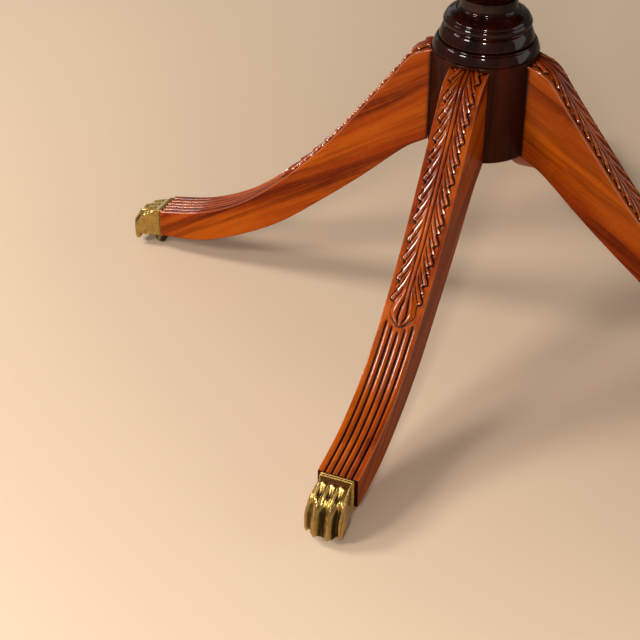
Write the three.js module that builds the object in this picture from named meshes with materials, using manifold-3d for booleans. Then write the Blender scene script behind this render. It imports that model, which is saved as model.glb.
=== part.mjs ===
// A round pedestal table. A fixed round top stands on a turned column. Four sabre legs, carved with an
// acanthus leaf and reeded below it, are dovetailed into the column's hub, and each ends in a brass lion-paw
// cap on a small swivelling caster.
// Millimetres, +Z up. The origin is on the floor, on the column's axis, and the front leg points along -Y.

import * as THREE from "three";
import { mergeVertices } from "three/addons/utils/BufferGeometryUtils.js";
import Module from "manifold-3d";

// ------------------------------------------------------------------------------------ driving dimensions

const gap = 0.3; // clearance where two pieces meet

// top, and the block and battens under it
const tableHeight = 750;
const topRadius = 609.5;
const topThickness = 22;
const topReedRadius = 4.6; // each of the two reeds turned on the top's edge
const bearerThickness = 36; // block and battens
const blockSide = 240;
const blockCorner = 30;
const battenLength = 880;
const battenWidth = 46;
const battenSpacing = 360; // between the middles of the two battens
const battenEndRise = 18; // how far the underside lifts at a batten's end
const battenEndLength = 60;
const battenScrewPlaces = [-380, -130, 130, 380]; // along a batten, from its middle
const blockScrewInset = 32;

// column
const tenonRadius = 19;
const tenonDepth = 90; // into the hub, below the collar
const capRadius = 52; // the ring under the block
const capHeight = 14;
const flareHeight = 84;
const flareRadius = 29;
const beadRadius = 7; // half round bead between the vase and the flare
const vaseRadius = 54;
const neckRadius = 30.2;
const neckHeight = 11;
const neckFlare = 1.5; // how far the neck widens where it meets the collar
const neckFlareHeight = 2;

// turned collar between the column and the hub
const lowerRingOverhang = 0.2; // beyond the hub
const lowerRingHeight = 12.3;
const upperRingInset = 6.3; // behind the lower ring
const upperRingHeight = 15.2;
const ringClosing = 6.6; // how much narrower a ring is at its upper arris than at its widest
const ringUndercut = 2.4; // and at its foot
const domeInset = 3.6; // behind the upper ring
const domeHeight = 16.5;
const domeBandHeight = 4; // the upright band at the dome's foot
const domeStepHeight = 7; // the level of the small step above that band
const domeStepDepth = 3.6;
const domeStepRise = 4; // from the step to where the dome closes in

// hub
const hubRadius = 55.8;
const hubBottom = 226;
const hubHeight = 108;

// legs
const legWidth = 42;
const legTop = 330;
const footRadius = 389; // the leg's end face, from the column's axis
const footDepth = 32.9; // the height of the leg's end face
const footLift = 4.6; // the end face's lower edge above the paw's underside
const tongueDepth = 18; // dovetail tongue
const tongueHeight = 79;
const tongueNeck = 18;
const tongueRoot = 26;
const reedCount = 6;
const grooveRadius = 1.9;
const grooveStagger = 28; // how much sooner a groove at the leg's side starts than one in the middle
const leafReach = 238; // the tip of the leaf, from the column's axis
const leafRelief = 2.6;
const leafLobes = 11; // on each side
const leafMargin = 4; // plain wood beside the leaf
const leafNotch = 4.5;
const endTenonLength = 12;
const endTenonWidth = 24;
const endTenonHeight = 19;

// brass paw cap
const pawWidth = 35;
const pawLength = 44;
const wristWidth = 25.2; // the block that joins the toes
const cuffThickness = 3.2; // plate against the leg's end face
const cuffLift = 2; // its lower edge above the paw's underside
const toeHeight = 10; // where a toe turns down into its claw, above the paw's underside
const clawDrop = 9; // claw tips below the paw's underside, in front of the caster
// setBack is behind the paw's tip, length runs back to the knuckle, side is from the paw's middle, and
// fall is from the leg's top edge down to the knuckle
const innerToe = { radius: 8.6, setBack: 0, length: 24.4, side: 7.8, fall: 10 };
const outerToe = { radius: 6.4, setBack: 6.5, length: 23, side: 14.4, fall: 15 };
const innerClaw = { radius: 4.2, side: 7.2 };
const outerClaw = { radius: 3.8, side: 15.2 };

// caster
const wheelRadius = 7;
const wheelWidth = 9;
const wheelSides = 16;
const casterReach = 19; // swivel axis beyond the leg's end face
const casterTrail = 8; // wheel axle behind the swivel axis, towards the column
const crownThickness = 2;
const crownBehind = 3.5; // beyond the wheel's axle
const wheelHeadroom = 0.8; // between the wheel and the crown of its fork
const cheekThickness = 1.6;
const cheekRadius = 3; // round the axle
const axleRadius = 1.5;
const pintleRadius = 3;
const pintleLength = 14;

// iron plate under the hub
const spiderInset = 5.8; // the arms' ends inside the hub's edge
const spiderArmWidth = 26;
const spiderThickness = 2.6;

// screws: head radius, shank radius and length
const bearerScrew = { head: 4.6, shank: 2.2, length: 48 };
const spiderScrew = { head: 4, shank: 2, length: 26 };
const pawScrew = { head: 2.7, shank: 1.3, length: 17 };

// facets of the turned pieces
const turnSides = 24;
const drumSides = 48;
const topSides = 56;
const smallSides = 8;

// --------------------------------------------------------------------------------- heights worked out

const hubTop = hubBottom + hubHeight;
const lowerRingRadius = hubRadius + lowerRingOverhang;
const upperRingRadius = lowerRingRadius - upperRingInset;
const domeRadius = upperRingRadius - domeInset;
const topUnderside = tableHeight - topThickness;
const bearerTop = topUnderside - gap;
const bearerUnderside = bearerTop - bearerThickness;
const collarBottom = hubTop + gap;
const collarTop = collarBottom + lowerRingHeight + upperRingHeight + domeHeight;
const shaftBottom = collarTop + gap;
const shaftTop = bearerUnderside - gap;
const wheelStand = wheelRadius * Math.cos(Math.PI / wheelSides); // a flat of the faceted tread is down
const crownTop = wheelStand + wheelRadius + wheelHeadroom + crownThickness;
const pawBottom = crownTop + gap;
const footBottom = pawBottom + footLift;
const footTop = footBottom + footDepth;
const casterRadius = footRadius + casterReach;

const sides = { right: 0, back: 90, left: 180, front: 270 }; // degrees about the column

// ------------------------------------------------------------------------------------------ materials

const mahogany = new THREE.MeshStandardMaterial({ color: 0x7a2f12, roughness: 0.28 });
const darkMahogany = new THREE.MeshStandardMaterial({ color: 0x2a0d08, roughness: 0.22 });
const plainMahogany = new THREE.MeshStandardMaterial({ color: 0x5c2a14, roughness: 0.55 });
const brass = new THREE.MeshStandardMaterial({ color: 0x97793a, roughness: 0.38, metalness: 1 });
const iron = new THREE.MeshStandardMaterial({ color: 0x2b2926, roughness: 0.6, metalness: 1 });
const steel = new THREE.MeshStandardMaterial({ color: 0x77736c, roughness: 0.4, metalness: 1 });
const darkWheel = new THREE.MeshStandardMaterial({ color: 0x1b1916, roughness: 0.5, metalness: 0.6 });

// ----------------------------------------------------------------------------------------- solid tools

const wasm = await Module();
wasm.setup();

// A closed three.js geometry as a solid that can be cut and joined.
function solidOf(geometry) {
  const bare = geometry.clone();
  bare.deleteAttribute("normal");
  bare.deleteAttribute("uv");
  const merged = mergeVertices(bare, 1e-4);
  const corners = merged.index.array;
  const kept = [];
  for (let i = 0; i < corners.length; i += 3) {
    const [a, b, c] = [corners[i], corners[i + 1], corners[i + 2]];
    if (a !== b && b !== c && c !== a) {
      kept.push(a, b, c);
    }
  }
  const vertProperties = new Float32Array(merged.attributes.position.array);
  return new wasm.Manifold(new wasm.Mesh({ numProp: 3, vertProperties, triVerts: new Uint32Array(kept) }));
}

function joined(first, ...others) {
  return others.reduce((whole, other) => whole.add(other), first);
}

function cut(blank, ...tools) {
  return tools.reduce((left, tool) => left.subtract(tool), blank);
}

function geometryOf(solid) {
  const mesh = solid.getMesh();
  const geometry = new THREE.BufferGeometry();
  geometry.setAttribute("position", new THREE.BufferAttribute(mesh.vertProperties, 3));
  geometry.setIndex(new THREE.BufferAttribute(mesh.triVerts, 1));
  geometry.computeVertexNormals();
  return geometry;
}

function piece(name, solid, material) {
  const mesh = new THREE.Mesh(geometryOf(solid), material);
  mesh.name = name;
  return mesh;
}

// A turned solid about the Z axis. The outline is [radius, height] points, from the bottom up.
function turned(outline, segments = turnSides) {
  const points = outline.map(([radius, height]) => new THREE.Vector2(radius, height));
  return solidOf(new THREE.LatheGeometry(points, segments).rotateX(Math.PI / 2));
}

// A closed ring about the Z axis, for a piece with a hole through it.
function turnedRing(outline, segments = turnSides) {
  return turned([...outline, outline[0]], segments);
}

function cylinder(radius, bottom, top, segments = turnSides) {
  return turned([[0, bottom], [radius, bottom], [radius, top], [0, top]], segments);
}

// A flat outline of [x, y] points, raised from one height to another.
function raised(outline, bottom, top) {
  const shape = new THREE.Shape(outline.map(([x, y]) => new THREE.Vector2(x, y)));
  const geometry = new THREE.ExtrudeGeometry(shape, { depth: top - bottom, bevelEnabled: false });
  return solidOf(geometry.translate(0, 0, bottom));
}

// An upright outline of [radius, height] points, as thick as width across it, in the X-Z plane.
function upright(outline, width, middle = 0) {
  const shape = new THREE.Shape(outline.map(([x, z]) => new THREE.Vector2(x, z)));
  const geometry = new THREE.ExtrudeGeometry(shape, { depth: width, bevelEnabled: false });
  return solidOf(geometry.rotateX(Math.PI / 2).translate(0, middle + width / 2, 0));
}

function box(xRange, yRange, zRange) {
  const size = [xRange, yRange, zRange].map(([low, high]) => high - low);
  const middle = [xRange, yRange, zRange].map(([low, high]) => (low + high) / 2);
  return solidOf(new THREE.BoxGeometry(...size).translate(...middle));
}

// Points of a round stretch in an outline: the angle is from the outline's radius direction, in degrees.
function arc(centreRadius, centreHeight, arcRadius, fromDegrees, toDegrees, steps) {
  const points = [];
  for (let i = 0; i <= steps; i += 1) {
    const angle = THREE.MathUtils.degToRad(fromDegrees + (toDegrees - fromDegrees) * (i / steps));
    points.push([centreRadius + arcRadius * Math.cos(angle), centreHeight + arcRadius * Math.sin(angle)]);
  }
  return points;
}

// A smooth curve through [share across, share up] points, sampled as plain points.
function smooth(points, samples) {
  const curve = new THREE.SplineCurve(points.map(([x, y]) => new THREE.Vector2(x, y)));
  return curve.getPoints(samples).map((point) => [point.x, point.y]);
}

// A countersunk wood screw that points up, with its head's face at height zero.
function screw({ head, shank, length }) {
  return turned([
    [0, 0],
    [head, 0],
    [shank, head - shank],
    [shank, length - shank * 2],
    [0, length],
  ], smallSides);
}

// The countersunk hole that the screw sits in.
function screwHole({ head, shank, length }) {
  return turned([
    [0, -1],
    [head + gap + 1, -1],
    [shank + gap, head - shank],
    [shank + gap, length + gap],
    [0, length + gap],
  ], smallSides);
}

// -------------------------------------------------------------------------------------- top and bearers

const bearerScrewPlaces = [];
for (const x of [-battenSpacing / 2, battenSpacing / 2]) {
  for (const y of battenScrewPlaces) {
    bearerScrewPlaces.push([x, y]);
  }
}
const blockScrewPlaces = [];
for (const x of [-1, 1]) {
  for (const y of [-1, 1]) {
    blockScrewPlaces.push([x * (blockSide / 2 - blockScrewInset), y * (blockSide / 2 - blockScrewInset)]);
  }
}

function bearerScrewHoles(places) {
  return places.map(([x, y]) => screwHole(bearerScrew).translate([x, y, bearerUnderside]));
}

function tableTop() {
  const upperReed = tableHeight - 2 - topReedRadius;
  const lowerReed = topUnderside + 1.6 + topReedRadius;
  const edge = topRadius - topReedRadius;
  const disc = turned([
    [0, topUnderside],
    [edge - 2, topUnderside],
    ...arc(edge, lowerReed, topReedRadius, -75, 70, 3),
    ...arc(edge, upperReed, topReedRadius, -70, 75, 3),
    [edge - 1, tableHeight - 1],
    [edge - 3, tableHeight],
    [0, tableHeight],
  ], topSides);
  return cut(disc, ...bearerScrewHoles([...bearerScrewPlaces, ...blockScrewPlaces]));
}

function batten(x) {
  const half = battenLength / 2;
  const outline = [
    [-half, bearerUnderside + battenEndRise],
    [-half + battenEndLength, bearerUnderside],
    [half - battenEndLength, bearerUnderside],
    [half, bearerUnderside + battenEndRise],
    [half, bearerTop],
    [-half, bearerTop],
  ];
  const bar = upright(outline, battenWidth).rotate([0, 0, 90]).translate([x, 0, 0]);
  return cut(bar, ...bearerScrewHoles(bearerScrewPlaces.filter((place) => place[0] === x)));
}

function topBlock() {
  const half = blockSide / 2;
  const inner = half - blockCorner;
  const outline = [
    [half, -inner], [half, inner], [inner, half], [-inner, half],
    [-half, inner], [-half, -inner], [-inner, -half], [inner, -half],
  ];
  const blank = raised(outline, bearerUnderside, bearerTop);
  const mortise = cylinder(tenonRadius + gap, bearerUnderside - 1, bearerTop + 1);
  return cut(blank, mortise, ...bearerScrewHoles(blockScrewPlaces));
}

// -------------------------------------------------------------------------------------- column and hub

// The column's outline from its lower tenon to its upper tenon.
function columnShaft() {
  const neckTop = shaftBottom + neckFlareHeight + neckHeight;
  const capBottom = shaftTop - capHeight;
  const flareBottom = capBottom - flareHeight;
  const vaseTop = flareBottom - beadRadius * 2;
  const vaseShares = [
    [neckRadius / vaseRadius, 0], [0.65, 0.035], [0.88, 0.13], [0.99, 0.24], [0.98, 0.36],
    [0.85, 0.52], [0.67, 0.7], [0.55, 0.86], [0.53, 1],
  ];
  const vase = smooth(vaseShares, 11).map(([across, up]) => [
    across * vaseRadius,
    neckTop + up * (vaseTop - neckTop),
  ]);
  const flareShares = [[0, 0], [0.04, 0.35], [0.3, 0.75], [0.72, 1]];
  const flare = smooth(flareShares, 4).map(([across, up]) => [
    flareRadius + across * (capRadius - flareRadius),
    flareBottom + up * flareHeight,
  ]);
  return turned([
    [0, hubTop - tenonDepth],
    [tenonRadius, hubTop - tenonDepth],
    [tenonRadius, shaftBottom],
    [neckRadius + neckFlare, shaftBottom],
    [neckRadius, shaftBottom + neckFlareHeight],
    ...vase,
    ...arc(flareRadius + 1, flareBottom - beadRadius, beadRadius, -85, 85, 4),
    ...flare,
    [capRadius - 3, capBottom],
    ...arc(capRadius - capHeight / 2, capBottom + capHeight / 2, capHeight / 2, -60, 60, 3),
    [capRadius - 3, shaftTop],
    [tenonRadius, shaftTop],
    [tenonRadius, bearerTop - gap],
    [0, bearerTop - gap],
  ]);
}

// A roll that is widest near its foot and closes in to a sharp arris at its upper edge.
function rollOutline(radius, bottom, height) {
  return [
    [radius - ringUndercut, bottom],
    [radius, bottom + height * 0.25],
    [radius - ringClosing * 0.14, bottom + height * 0.55],
    [radius - ringClosing * 0.5, bottom + height * 0.84],
    [radius - ringClosing, bottom + height],
  ];
}

function columnCollar() {
  const upperBottom = collarBottom + lowerRingHeight;
  const domeBottom = upperBottom + upperRingHeight;
  return turnedRing([
    [tenonRadius + gap, collarBottom],
    ...rollOutline(lowerRingRadius, collarBottom, lowerRingHeight),
    ...rollOutline(upperRingRadius, upperBottom, upperRingHeight),
    [domeRadius - 1, domeBottom],
    [domeRadius, domeBottom + domeBandHeight],
    [domeRadius - domeStepDepth * 0.45, domeBottom + domeStepHeight],
    [domeRadius - domeStepDepth, domeBottom + domeStepHeight],
    [domeRadius - domeStepDepth - 2.4, domeBottom + domeStepHeight + domeStepRise],
    [neckRadius + neckFlare * 4, collarTop - 1.8],
    [neckRadius + neckFlare + 0.5, collarTop],
    [tenonRadius + gap, collarTop],
  ]);
}

// The plan of a leg's dovetail tongue, or with a clearance the plan of its housing in the hub.
function dovetailPlan(clearance, outerRadius) {
  const neck = tongueNeck / 2 + clearance;
  const root = tongueRoot / 2 + clearance;
  const inner = hubRadius - tongueDepth - clearance;
  return [[outerRadius, -neck], [outerRadius, neck], [hubRadius, neck], [inner, root], [inner, -root],
    [hubRadius, -neck]];
}

function hub() {
  const drum = turned([
    [0, hubBottom],
    [hubRadius, hubBottom],
    [hubRadius, hubTop - 1.5],
    [hubRadius - 1.5, hubTop],
    [0, hubTop],
  ], drumSides);
  const bore = cylinder(tenonRadius + gap, hubTop - tenonDepth - gap, hubTop + 1);
  const housing = raised(dovetailPlan(gap, hubRadius + 5), hubBottom - 1, hubBottom + tongueHeight + gap);
  const housings = Object.values(sides).map((turn) => housing.rotate([0, 0, turn]));
  const holes = Object.values(sides).map((turn) => spiderHole().rotate([0, 0, turn]));
  return cut(drum, bore, ...housings, ...holes);
}

// ---------------------------------------------------------------------------------- plate under the hub

const spiderTop = hubBottom - gap;
const spiderReach = hubRadius - spiderInset;
const spiderScrewRadius = hubRadius - tongueDepth / 2;

function spiderHole() {
  return screwHole(spiderScrew).translate([spiderScrewRadius, 0, spiderTop - spiderThickness]);
}

function spiderPlate() {
  const bottom = spiderTop - spiderThickness;
  const half = spiderArmWidth / 2;
  const bar = raised([[-spiderReach, -half], [spiderReach, -half], [spiderReach, half], [-spiderReach, half]],
    bottom, spiderTop);
  const disc = cylinder(spiderReach * 0.62, bottom, spiderTop);
  const holes = Object.values(sides).map((turn) => spiderHole().rotate([0, 0, turn]));
  return cut(joined(bar, bar.rotate([0, 0, 90]), disc), ...holes);
}

// ------------------------------------------------------------------------------------------------ legs

// Shares of the way from the hub to the foot, and of the height between the leg's two ends.
const upperEdgeShares = [
  [0, 1], [0.057, 0.962], [0.123, 0.855], [0.225, 0.692], [0.366, 0.476],
  [0.517, 0.289], [0.673, 0.138], [0.835, 0.044], [1, 0],
];
const lowerEdgeShares = [
  [0, 1], [0.081, 0.898], [0.219, 0.686], [0.366, 0.479],
  [0.517, 0.282], [0.676, 0.133], [0.838, 0.03], [1, 0],
];

function legEdge(shares, bottom, top, samples) {
  return smooth(shares, samples).map(([along, up]) => [
    hubRadius + along * (footRadius - hubRadius),
    bottom + up * (top - bottom),
  ]);
}

const upperEdge = legEdge(upperEdgeShares, footTop, legTop, 14);
const lowerEdge = legEdge(lowerEdgeShares, footBottom, hubBottom, 12);

// The same edge, moved out square to itself.
function offsetEdge(edge, distance) {
  return edge.map(([x, z], index) => {
    const [x0, z0] = edge[Math.max(index - 1, 0)];
    const [x1, z1] = edge[Math.min(index + 1, edge.length - 1)];
    const length = Math.hypot(x1 - x0, z1 - z0);
    return [x - (distance * (z1 - z0)) / length, z + (distance * (x1 - x0)) / length];
  });
}

// The carved leaf's plan: rounded lobes down each side and a pointed tip.
function leafPlan() {
  const start = hubRadius - 4;
  const widest = legWidth / 2 - leafMargin;
  const pitch = (leafReach - start) / (leafLobes + 1);
  const side = [];
  for (let i = 0; i < leafLobes; i += 1) {
    const taper = Math.min(1, (leafLobes + 1 - i) / 4);
    const lobeStart = start + i * pitch;
    side.push([lobeStart, (widest - leafNotch) * taper]);
    side.push([lobeStart + pitch * 0.75, widest * taper]);
  }
  const mirrored = side.map(([x, y]) => [x, -y]).reverse();
  return [...mirrored, ...side, [leafReach, 0]].reverse();
}

function leaf() {
  const slab = upright([...offsetEdge(upperEdge, leafRelief), ...offsetEdge(upperEdge, -2).reverse()], legWidth);
  return slab.intersect(raised(leafPlan(), 0, legTop + leafRelief * 2));
}

// The point of the upper edge at a distance from the column's axis.
function pointOnEdge(radius) {
  const next = upperEdge.findIndex(([x]) => x > radius);
  const [x0, z0] = upperEdge[next - 1];
  const [x1, z1] = upperEdge[next];
  return [radius, z0 + ((radius - x0) / (x1 - x0)) * (z1 - z0)];
}

// The grooves that leave the reeds standing run from below the leaf to the leg's end.
function reedGrooves() {
  const pitch = legWidth / reedCount;
  const section = new THREE.Shape();
  section.absarc(0, 0, grooveRadius, 0, Math.PI * 2);
  const grooves = [];
  for (let i = 1; i < reedCount; i += 1) {
    const across = i * pitch - legWidth / 2;
    const start = leafReach + 4 - grooveStagger * (Math.abs(across) / legWidth);
    const run = upperEdge.filter(([x]) => x > start + 4);
    const points = [pointOnEdge(start), ...run, [footRadius + 3, footTop]];
    const path = new THREE.CatmullRomCurve3(points.map(([x, z]) => new THREE.Vector3(x, across, z)));
    const options = { extrudePath: path, steps: points.length, curveSegments: 2, bevelEnabled: false };
    grooves.push(solidOf(new THREE.ExtrudeGeometry(section, options)));
  }
  return grooves;
}

const endTenonMiddle = (footTop + footBottom) / 2;

// The leg's end tenon, or with a clearance the pocket for it in the paw cap.
function endTenon(clearance) {
  const halfWidth = endTenonWidth / 2 + clearance;
  const halfHeight = endTenonHeight / 2 + clearance;
  return box([footRadius - 1, footRadius + endTenonLength + clearance], [-halfWidth, halfWidth],
    [endTenonMiddle - halfHeight, endTenonMiddle + halfHeight]);
}

function pawScrewHole() {
  return screwHole(pawScrew).translate([footRadius + endTenonLength / 2, 0, pawBottom]);
}

function leg() {
  const inner = hubRadius - 8;
  const outline = [[inner, hubBottom], ...lowerEdge, ...upperEdge.slice().reverse(), [inner, legTop]];
  const blank = joined(upright(outline, legWidth), leaf());
  const coped = cut(blank, cylinder(hubRadius + gap, hubBottom - 1, legTop + 10, drumSides));
  const tongue = raised(dovetailPlan(0, hubRadius + 3), hubBottom, hubBottom + tongueHeight);
  const whole = joined(coped, tongue, endTenon(0));
  return cut(whole, ...reedGrooves(), spiderHole(), pawScrewHole());
}

// -------------------------------------------------------------------------------------------- paw cap

// A rod with round ends between two [x, y, z] points.
function roundRod(from, to, radius) {
  const [start, end] = [new THREE.Vector3(...from), new THREE.Vector3(...to)];
  const along = end.clone().sub(start);
  const geometry = new THREE.CapsuleGeometry(radius, along.length(), 2, 8);
  const turn = new THREE.Quaternion().setFromUnitVectors(new THREE.Vector3(0, 1, 0), along.clone().normalize());
  geometry.applyQuaternion(turn);
  const middle = start.add(end).multiplyScalar(0.5);
  return solidOf(geometry.translate(middle.x, middle.y, middle.z));
}

const pawBack = footRadius + gap;
const pawTip = pawBack + pawLength;

function toeRod(toe, side) {
  const bend = pawTip - toe.setBack - toe.radius;
  const knuckle = [bend - toe.length, side * toe.side, footTop - toe.fall];
  return roundRod(knuckle, [bend, side * toe.side, pawBottom + toeHeight], toe.radius);
}

function clawRod(toe, claw, side) {
  const front = pawTip - toe.setBack - claw.radius;
  const tip = pawBottom - clawDrop + claw.radius;
  return roundRod([front, side * claw.side, pawBottom + toeHeight], [front, side * claw.side, tip], claw.radius);
}

function pawCap() {
  const wrist = upright([
    [pawBack, pawBottom],
    [pawTip - 14, pawBottom],
    [pawTip - 9, pawBottom + toeHeight],
    [pawTip - 17, footTop - 8],
    [pawTip - 32, footTop - 2],
    [pawBack + cuffThickness, footTop - 1],
    [pawBack, footTop - 1],
  ], wristWidth);
  const cuff = box([pawBack, pawBack + cuffThickness], [-pawWidth / 2, pawWidth / 2],
    [pawBottom + cuffLift, footTop]);
  const toes = [-1, 1].flatMap((side) => [toeRod(innerToe, side), toeRod(outerToe, side)]);
  const claws = [-1, 1].flatMap((side) => [
    clawRod(innerToe, innerClaw, side),
    clawRod(outerToe, outerClaw, side),
  ]);
  const below = box([pawBack - 1, pawTip + 5], [-legWidth, legWidth], [pawBottom - 40, pawBottom]);
  const behind = box([pawBack - 40, pawBack], [-legWidth, legWidth], [pawBottom - 40, footTop + 30]);
  const bore = cylinder(pintleRadius + gap, pawBottom - 1, pawBottom + pintleLength + gap, smallSides)
    .translate([casterRadius, 0, 0]);
  const block = cut(joined(wrist, cuff, ...toes), below, behind, endTenon(gap), bore, pawScrewHole());
  return joined(block, ...claws);
}

// --------------------------------------------------------------------------------------------- casters

// A caster is drawn about its own swivel axis, with the wheel trailing towards -X.
function casterFork() {
  const halfWidth = wheelWidth / 2 + gap + cheekThickness;
  const crownPlan = [
    [-casterTrail - crownBehind, -halfWidth],
    ...arc(0, 0, halfWidth, -90, 90, 6),
    [-casterTrail - crownBehind, halfWidth],
  ];
  const crown = raised(crownPlan, crownTop - crownThickness, crownTop);
  const cheekOutline = [
    ...arc(-casterTrail, wheelStand, cheekRadius, 180, 360, 6),
    [-casterTrail + crownBehind + 2, crownTop - crownThickness / 2],
    [-casterTrail - crownBehind, crownTop - crownThickness / 2],
  ];
  const cheeks = [-1, 1].map((side) => upright(cheekOutline, cheekThickness,
    side * (wheelWidth / 2 + gap + cheekThickness / 2)));
  const pintle = cylinder(pintleRadius, crownTop - crownThickness / 2, crownTop + pintleLength, smallSides);
  return cut(joined(crown, pintle, ...cheeks), axleRod(gap, 4));
}

function axleRod(clearance, extra) {
  const half = wheelWidth / 2 + gap + cheekThickness + 0.4 + extra;
  return cylinder(axleRadius + clearance, -half, half, smallSides)
    .rotate([90, 0, 0])
    .translate([-casterTrail, 0, wheelStand]);
}

function casterWheel() {
  const half = wheelWidth / 2;
  const bore = axleRadius + gap;
  const outline = [[bore, -half], [wheelRadius - 1.2, -half], [wheelRadius, -half + 1.2],
    [wheelRadius, half - 1.2], [wheelRadius - 1.2, half], [bore, half]];
  return turnedRing(outline, wheelSides)
    .rotate([0, 0, 180 / wheelSides])
    .rotate([90, 0, 0])
    .translate([-casterTrail, 0, wheelStand]);
}

// ------------------------------------------------------------------------------------------- assembly

const table = new THREE.Group();
table.add(piece("table_top", tableTop(), mahogany));
table.add(piece("batten_left", batten(-battenSpacing / 2), plainMahogany));
table.add(piece("batten_right", batten(battenSpacing / 2), plainMahogany));
table.add(piece("top_block", topBlock(), plainMahogany));
table.add(piece("column_shaft", columnShaft(), darkMahogany));
table.add(piece("column_collar", columnCollar(), darkMahogany));
table.add(piece("hub", hub(), darkMahogany));
table.add(piece("spider_plate", spiderPlate(), iron));

bearerScrewPlaces.forEach(([x, y], index) => {
  const mesh = piece(`batten_screw_${index + 1}`, screw(bearerScrew), steel);
  mesh.position.set(x, y, bearerUnderside);
  table.add(mesh);
});
blockScrewPlaces.forEach(([x, y], index) => {
  const mesh = piece(`block_screw_${index + 1}`, screw(bearerScrew), steel);
  mesh.position.set(x, y, bearerUnderside);
  table.add(mesh);
});

for (const [side, turn] of Object.entries(sides)) {
  const quarter = new THREE.Group();
  quarter.rotation.z = THREE.MathUtils.degToRad(turn);
  quarter.add(piece(`leg_${side}`, leg(), mahogany));
  quarter.add(piece(`paw_cap_${side}`, pawCap(), brass));

  const plateScrew = piece(`spider_screw_${side}`, screw(spiderScrew), steel);
  plateScrew.position.set(spiderScrewRadius, 0, spiderTop - spiderThickness);
  quarter.add(plateScrew);

  const capScrew = piece(`paw_screw_${side}`, screw(pawScrew), steel);
  capScrew.position.set(footRadius + endTenonLength / 2, 0, pawBottom);
  quarter.add(capScrew);

  const caster = new THREE.Group();
  caster.position.x = casterRadius;
  caster.add(piece(`caster_fork_${side}`, casterFork(), brass));
  caster.add(piece(`caster_axle_${side}`, axleRod(0, 0), steel));
  caster.add(piece(`caster_wheel_${side}`, casterWheel(), darkWheel));
  quarter.add(caster);
  table.add(quarter);
}

export default table;
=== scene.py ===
# %% [markdown]
# # A round pedestal table
# The table has a round top on a turned column, four sabre legs with a carved acanthus leaf and reeds, brass
# lion-paw caps and small casters. The measured model is loaded first as a fixed frame. Everything made below
# is placed from that frame, in metres, with +Z up and the front leg pointing along -Y.

# %% Load the measured frame
import math

import bpy
import numpy as np
from mathutils import Matrix, Vector


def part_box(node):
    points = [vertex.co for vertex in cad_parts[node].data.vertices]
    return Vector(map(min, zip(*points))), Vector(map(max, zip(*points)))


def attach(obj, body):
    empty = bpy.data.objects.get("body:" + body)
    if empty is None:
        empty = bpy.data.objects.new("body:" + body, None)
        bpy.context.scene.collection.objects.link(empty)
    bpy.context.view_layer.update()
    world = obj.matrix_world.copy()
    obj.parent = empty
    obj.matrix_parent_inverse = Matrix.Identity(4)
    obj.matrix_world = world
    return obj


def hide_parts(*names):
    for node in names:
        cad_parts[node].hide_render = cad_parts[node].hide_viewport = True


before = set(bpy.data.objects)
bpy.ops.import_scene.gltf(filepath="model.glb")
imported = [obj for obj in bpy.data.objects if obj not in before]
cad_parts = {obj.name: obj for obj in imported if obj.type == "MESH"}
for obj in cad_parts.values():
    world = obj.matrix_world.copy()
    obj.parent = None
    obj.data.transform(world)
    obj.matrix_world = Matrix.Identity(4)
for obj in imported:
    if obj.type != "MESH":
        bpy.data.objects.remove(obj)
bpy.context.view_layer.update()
MM = 0.001

# %% [markdown]
# ## Camera
# The stand is looked down on from the front and a little to the right, so that the front leg runs towards the
# viewer and the left leg is seen from its side. A long lens from far away keeps the legs' taper true.

# %% Camera
camera_data = bpy.data.cameras.new("camera")
camera_data.sensor_width = 36
camera_data.lens = 87.3
camera_data.shift_x = -0.0016
camera_data.clip_start = 0.05
camera = bpy.data.objects.new("camera", camera_data)
bpy.context.scene.collection.objects.link(camera)
camera_right = Vector((0.91828, 0.39590, 0.00483)).normalized()
camera_up = Vector((-0.22717, 0.51685, 0.82539)).normalized()
camera_back = camera_right.cross(camera_up)
turn = Matrix((camera_right, camera_up, camera_back)).transposed().to_4x4()
camera.matrix_world = Matrix.Translation((0.4300, -1.4384, 1.0088)) @ turn
bpy.context.scene.camera = camera
print("camera looks along", [round(v, 3) for v in -camera_back])

# %% [markdown]
# ## Floor and light
# A plain pale floor with no edge in sight leaves the object alone in the picture. Polished wood is mostly
# seen by what it mirrors, so the lamps matter as much as the finish. Two small lamps stand in front, one
# beside the viewer and one to the left. Every turned arris mirrors them as a pair of bright spots. A larger
# one, high on the left, runs bright strokes along the rims of the carving. The wide, weak lamps on the right,
# behind and overhead give the soft light of a room. The colours are shown straight, without a film curve, so
# that the deep reds keep their strength.

# %% Floor and lamps
def lamp(name, place, target, size, power):
    data = bpy.data.lights.new(name, "AREA")
    data.shape = "RECTANGLE"
    data.size, data.size_y = size
    data.energy = power
    data.color = (1, 0.96, 0.90)
    lamp_object = bpy.data.objects.new(name, data)
    bpy.context.scene.collection.objects.link(lamp_object)
    lamp_object.location = place
    aim = Vector(target) - Vector(place)
    lamp_object.rotation_euler = aim.to_track_quat("-Z", "Y").to_euler()
    lamp_object.visible_camera = False
    return lamp_object


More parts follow.
